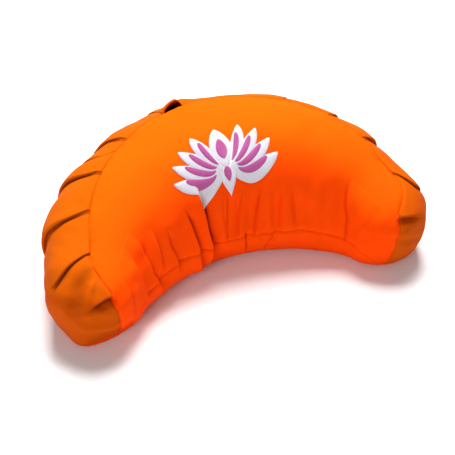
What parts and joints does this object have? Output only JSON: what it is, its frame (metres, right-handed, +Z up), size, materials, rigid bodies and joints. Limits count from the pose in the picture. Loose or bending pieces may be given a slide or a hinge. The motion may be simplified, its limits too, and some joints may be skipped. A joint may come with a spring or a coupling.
{
  "type": "crescent meditation cushion",
  "caption": "Crescent-shaped zafu: a filled meditation cushion with a smooth top panel and a knife-pleated side band.",
  "frame": {"origin": "under the middle of the cushion's box, on the surface that it rests on", "axes": "+X from the left horn to the right one, +Y to the convex back, +Z up"},
  "size_m": [0.4462, 0.2581, 0.1566],
  "materials": {
    "top_panel": "matte woven cotton",
    "side_band": "matte woven cotton",
    "bottom_panel": "matte woven cotton"
  },
  "bodies": {
    "root": {"top_panel": "top_panel", "side_band": "side_band", "bottom_panel": "bottom_panel"}
  },
  "joints": []
}
